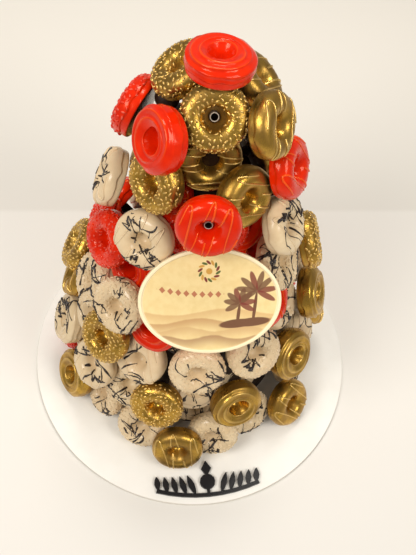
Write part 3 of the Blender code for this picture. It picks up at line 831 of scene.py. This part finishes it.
ink = Finish("flicked_chocolate", Specular_IOR_Level=0.5)
ink.dress(Base_Color=ink.blend(ink.noise(400.0), INK, PALE_INK),
          Roughness=0.3)
for group, meshes in stroke_groups.items():
    name = "chocolate_strokes_" + group
    strokes = made_object(name, joined(name, meshes), ink)

# --- Plaque -----------------------------------------------------------------
# An oval slab of ivory chocolate cast with a raised rim. Its face carries an
# edible print: dunes under a plain sky, two palms, a wreath and a garland.

PLAQUE_HALF = (0.077, 0.058)
PLAQUE_THICKNESS = 0.007
RIM_WIDTH = 0.0036
RIM_STEP = 0.0011
RIM_SLOPE = 0.0004
RIM_ROUNDING = 0.0009

plaque_shape = bmesh.new()
bmesh.ops.create_circle(plaque_shape, cap_ends=True, segments=144, radius=1.0)
bmesh.ops.scale(plaque_shape, vec=(*PLAQUE_HALF, 1.0), verts=plaque_shape.verts)
bmesh.ops.translate(plaque_shape, vec=(0, 0, -PLAQUE_THICKNESS / 2), verts=plaque_shape.verts)
slab = bmesh.ops.extrude_face_region(plaque_shape, geom=plaque_shape.faces[:])
slab_top = [item for item in slab["geom"] if isinstance(item, bmesh.types.BMVert)]
bmesh.ops.translate(plaque_shape, vec=(0, 0, PLAQUE_THICKNESS), verts=slab_top)
bmesh.ops.recalc_face_normals(plaque_shape, faces=plaque_shape.faces)
face = max(plaque_shape.faces, key=lambda item: item.calc_center_median().z if len(item.verts) > 4 else -1)
bmesh.ops.inset_region(plaque_shape, faces=[face], thickness=RIM_WIDTH, depth=0.0, use_even_offset=True)
bmesh.ops.inset_region(plaque_shape, faces=[face], thickness=RIM_SLOPE, depth=-RIM_STEP, use_even_offset=True)
rim_edges = [edge for edge in plaque_shape.edges
             if len(edge.link_faces) == 2 and edge.calc_face_angle(0.0) > math.radians(30)
             and abs(edge.verts[0].co.z - edge.verts[1].co.z) < 0.0001]
bmesh.ops.bevel(plaque_shape, geom=rim_edges, offset=RIM_ROUNDING, offset_type="OFFSET", segments=3,
                profile=0.5, affect="EDGES", material=-1)
print_map = plaque_shape.loops.layers.uv.new("print")
for item in plaque_shape.faces:
    for loop in item.loops:
        loop[print_map].uv = (loop.vert.co.x / PLAQUE_HALF[0], loop.vert.co.y / PLAQUE_HALF[0])
plaque_mesh = bpy.data.meshes.new("ivory_plaque")
plaque_shape.to_mesh(plaque_mesh)
plaque_shape.free()

plaque_corners = np.array([vertex.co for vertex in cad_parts["plaque"].data.vertices])
plaque_middle = (plaque_corners.min(axis=0) + plaque_corners.max(axis=0)) / 2
plaque_normal = np.linalg.eigh(np.cov((plaque_corners - plaque_middle).T))[1][:, 0]
plaque_normal = Vector(plaque_normal if plaque_normal[2] > 0 else -plaque_normal)
plaque_place = placing(Vector(plaque_middle), plaque_normal, 0)
plaque_mesh.transform(plaque_place)
plaque_mesh.shade_smooth()
plaque_mesh.set_sharp_from_angle(angle=math.radians(40))

IVORY = (0.85, 0.67, 0.33, 1)
DEEP_IVORY = (0.80, 0.61, 0.28, 1)
RIM_IVORY = (0.93, 0.80, 0.53, 1)
MAROON = (0.20, 0.035, 0.025, 1)
GREEN = (0.10, 0.13, 0.03, 1)
OCHRE = (0.60, 0.32, 0.06, 1)
BROWN = (0.17, 0.075, 0.035, 1)
BRICK = (0.42, 0.10, 0.05, 1)
# Height, swell, pace, start and colour of each line of dunes, from the back.
DUNES = ((-0.16, 0.045, 4.2, 0.6, (0.66, 0.42, 0.18, 1)), (-0.29, 0.040, 5.6, 2.4, (0.50, 0.27, 0.11, 1)),
         (-0.41, 0.035, 7.4, 4.1, (0.62, 0.40, 0.18, 1)), (-0.53, 0.03, 9.0, 1.2, (0.36, 0.19, 0.09, 1)))
# Foot, height and the fronds' length of each palm.
PALMS = ((0.60, -0.34, 0.50, 0.30), (0.38, -0.36, 0.34, 0.23))
FROND_ANGLES = (8, 42, 74, 108, 140, 172, -28, -152)
WREATH_MIDDLE = (-0.02, 0.43)
WREATH_RADIUS = 0.10
WREATH_LEAVES = 14

ivory = Finish("printed_ivory", Specular_IOR_Level=0.5, Coat_Weight=0.1, Coat_Roughness=0.2)
spread = ivory.node("ShaderNodeUVMap", {"uv_map": "print"})
u = ivory.node("ShaderNodeSeparateXYZ", None, {"Vector": spread}, "X")
v = ivory.node("ShaderNodeSeparateXYZ", None, {"Vector": spread}, "Y")
oval = u * u + (PLAQUE_HALF[0] / PLAQUE_HALF[1]) ** 2 * (v * v)
mottle = ivory.noise(120.0, 4.0)
colour = ivory.blend(mottle.between(0.3, 0.7), IVORY, DEEP_IVORY)
for level, swell, pace, start, tone in DUNES:
    ridge = v - swell * (u * pace + start).sine() - 0.02 * mottle
    under = 1 - ridge.between(level - 0.012, level + 0.012)
    fading = ridge.between(level - 0.22, level + 0.02) * 0.8
    colour = ivory.blend(under * fading, colour, tone)


def petal(foot_u, foot_v, length, width, degrees):
    """A mask for a long oval that starts at its foot and points away."""
    cosine = math.cos(math.radians(degrees))
    sine = math.sin(math.radians(degrees))
    away = ((u - foot_u) * cosine + (v - foot_v) * sine) * (2 / length) - 1
    aside = ((v - foot_v) * cosine - (u - foot_u) * sine) * (2 / width)
    return 1 - (away * away + aside * aside).between(0.75, 1.1)


for foot_u, foot_v, tall, reach in PALMS:
    colour = ivory.blend(petal(foot_u - 0.26, foot_v + 0.01, 0.52, 0.13, 6), colour, BROWN)
    colour = ivory.blend(petal(foot_u, foot_v, tall, 0.05, 84), colour, BROWN)
    for number, degrees in enumerate(FROND_ANGLES):
        frond = petal(foot_u + 0.10 * tall, foot_v + 0.97 * tall, reach, 0.085, degrees)
        colour = ivory.blend(frond * 0.9, colour, BROWN if number % 3 else MAROON)
# A wreath of short leaves, with a dot in its middle.
for number in range(WREATH_LEAVES):
    around = math.tau * number / WREATH_LEAVES
    leaf = petal(WREATH_MIDDLE[0] + WREATH_RADIUS * math.cos(around),
                 WREATH_MIDDLE[1] + WREATH_RADIUS * math.sin(around), 0.085, 0.036, math.degrees(around) + 62)
    colour = ivory.blend(leaf, colour, (MAROON, GREEN, OCHRE)[number % 3])
colour = ivory.blend(petal(-0.065, 0.43, 0.09, 0.09, 0), colour, OCHRE)
# A garland of lozenges that hangs across the middle.
hang = v - 0.16 * (u * u) - 0.10
sideways = ivory.node("ShaderNodeMath", {"operation": "PINGPONG"}, {0: u * 9.0, 1: 0.5})
upright = ivory.node("ShaderNodeMath", {"operation": "ABSOLUTE"}, {0: hang * 8.0})
lozenges = 1 - (sideways + upright).between(0.34, 0.42)
right_end = 1 - (u + 0.12).between(0.30, 0.32)
left_end = (u + 0.75).between(0.0, 0.02)
colour = ivory.blend(lozenges * right_end * left_end * 0.85, colour, BRICK)
rim = oval.between(0.86, 0.90)
ivory.dress(Base_Color=ivory.blend(rim, colour, RIM_IVORY),
            Roughness=0.32 + 0.1 * mottle,
            Normal=ivory.bump(ivory.noise(500.0, 2.0), 0.0001, 0.4))
plaque = made_object("ivory_plaque", plaque_mesh, ivory)
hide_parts("plaque")

# --- Rim ornament -----------------------------------------------------------
# A black acrylic ornament lying on the board's front edge: a bar with leaves
# that lean out from a disc, and a lozenge above it. Cut from one sheet.

BLACK = (0.008, 0.008, 0.010, 1)
SOFT_BLACK = (0.016, 0.016, 0.018, 1)

acrylic = Finish("black_acrylic", Roughness=0.35, Specular_IOR_Level=0.3)
acrylic.dress(Base_Color=acrylic.blend(acrylic.noise(600.0), BLACK, SOFT_BLACK))
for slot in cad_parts["rim_ornament"].material_slots:
    slot.material = acrylic.material

# --- Floor, light and camera ------------------------------------------------
# A pale floor with painted shade towards its front and at its level line, a
# strong soft lamp at the front left, a weaker one at the front right and a small
# one overhead, and a camera that looks down on the tower from the front.

FLOOR_SIZE = 6.0
# Tones of the floor from the front to its level line, and from there back. The front tone and the tone at the
# line are painted shade.
FRONT_SHADE_TONE = (0.715, 0.695, 0.66, 1)
MIDDLE_TONE = (0.885, 0.855, 0.80, 1)
LINE_SHADE_TONE = (0.815, 0.785, 0.725, 1)
BACK_TONE = (0.93, 0.89, 0.815, 1)
LINE_TURN = math.radians(-9.9)
LAMP_AIM = (0.0, 0.0, 0.2)
LAMP_WHITE = (1.0, 0.96, 0.90)
SKY_WHITE = (1.0, 0.955, 0.89, 1)
SKY_STRENGTH = 0.35

floor_mesh = bpy.data.meshes.new("floor")
floor_shape = bmesh.new()
bmesh.ops.create_grid(floor_shape, x_segments=1, y_segments=1, size=FLOOR_SIZE)
floor_shape.to_mesh(floor_mesh)
floor_shape.free()
floor = bpy.data.objects.new("floor", floor_mesh)
bpy.context.scene.collection.objects.link(floor)
ground = Finish("pale_floor", Roughness=0.6)
# The back of the floor starts at a level line, painted darker there as painted shade, and brightens away from
# it. The front is painted darker too, as painted shade.
across = ground.node("ShaderNodeSeparateXYZ", None, {"Vector": ground.place()}, "X")
along = ground.node("ShaderNodeSeparateXYZ", None, {"Vector": ground.place()}, "Y")
depth = math.cos(LINE_TURN) * along + math.sin(LINE_TURN) * across
near = ground.blend(depth.between(-0.55, 0.26), FRONT_SHADE_TONE, MIDDLE_TONE)
back = ground.blend(depth.between(0.26, 0.75), LINE_SHADE_TONE, BACK_TONE)
ground.dress(Base_Color=ground.blend(depth.between(0.255, 0.266), near, back))
floor_mesh.materials.append(ground.material)


def soft_lamp(name, place, size, power):
    """A square area lamp at a place, turned to the tower."""
    lamp = bpy.data.lights.new(name, "AREA")
    lamp.size = size
    lamp.energy = power
    lamp.color = LAMP_WHITE
    stand = bpy.data.objects.new(name, lamp)
    stand.location = place
    stand.rotation_euler = (Vector(LAMP_AIM) - Vector(place)).to_track_quat("-Z", "Y").to_euler()
    bpy.context.scene.collection.objects.link(stand)


soft_lamp("left_lamp", (-1.0, -0.9, 1.7), 0.8, 21.5)
soft_lamp("right_lamp", (1.1, -0.7, 1.6), 0.8, 14.5)
soft_lamp("overhead_lamp", (0.0, 0.55, 1.9), 0.5, 12)

sky = bpy.data.worlds.new("studio")
sky.use_nodes = True
sky.node_tree.nodes["Background"].inputs["Color"].default_value = SKY_WHITE
sky.node_tree.nodes["Background"].inputs["Strength"].default_value = SKY_STRENGTH
bpy.context.scene.world = sky
bpy.context.scene.view_settings.view_transform = "Standard"

LENS = 51.89
CAMERA_PLACE = (0.0, -0.5217, 1.0737)
CAMERA_YAW = 0.0141
CAMERA_PITCH = 1.0217
CAMERA_ROLL = 0.1519

lens = bpy.data.cameras.new("camera")
lens.lens = LENS
lens.sensor_width = 36.0
lens.sensor_fit = "AUTO"
camera = bpy.data.objects.new("camera", lens)
bpy.context.scene.collection.objects.link(camera)
forward = Vector((math.sin(CAMERA_YAW) * math.cos(CAMERA_PITCH),
                  math.cos(CAMERA_YAW) * math.cos(CAMERA_PITCH),
                  -math.sin(CAMERA_PITCH)))
level = Vector((math.cos(CAMERA_YAW), -math.sin(CAMERA_YAW), 0.0))
raised = level.cross(forward)
right = math.cos(CAMERA_ROLL) * level + math.sin(CAMERA_ROLL) * raised
top = math.cos(CAMERA_ROLL) * raised - math.sin(CAMERA_ROLL) * level
facing = Matrix((right, top, -forward)).transposed().to_4x4()
camera.matrix_world = Matrix.Translation(CAMERA_PLACE) @ facing
bpy.context.scene.camera = camera
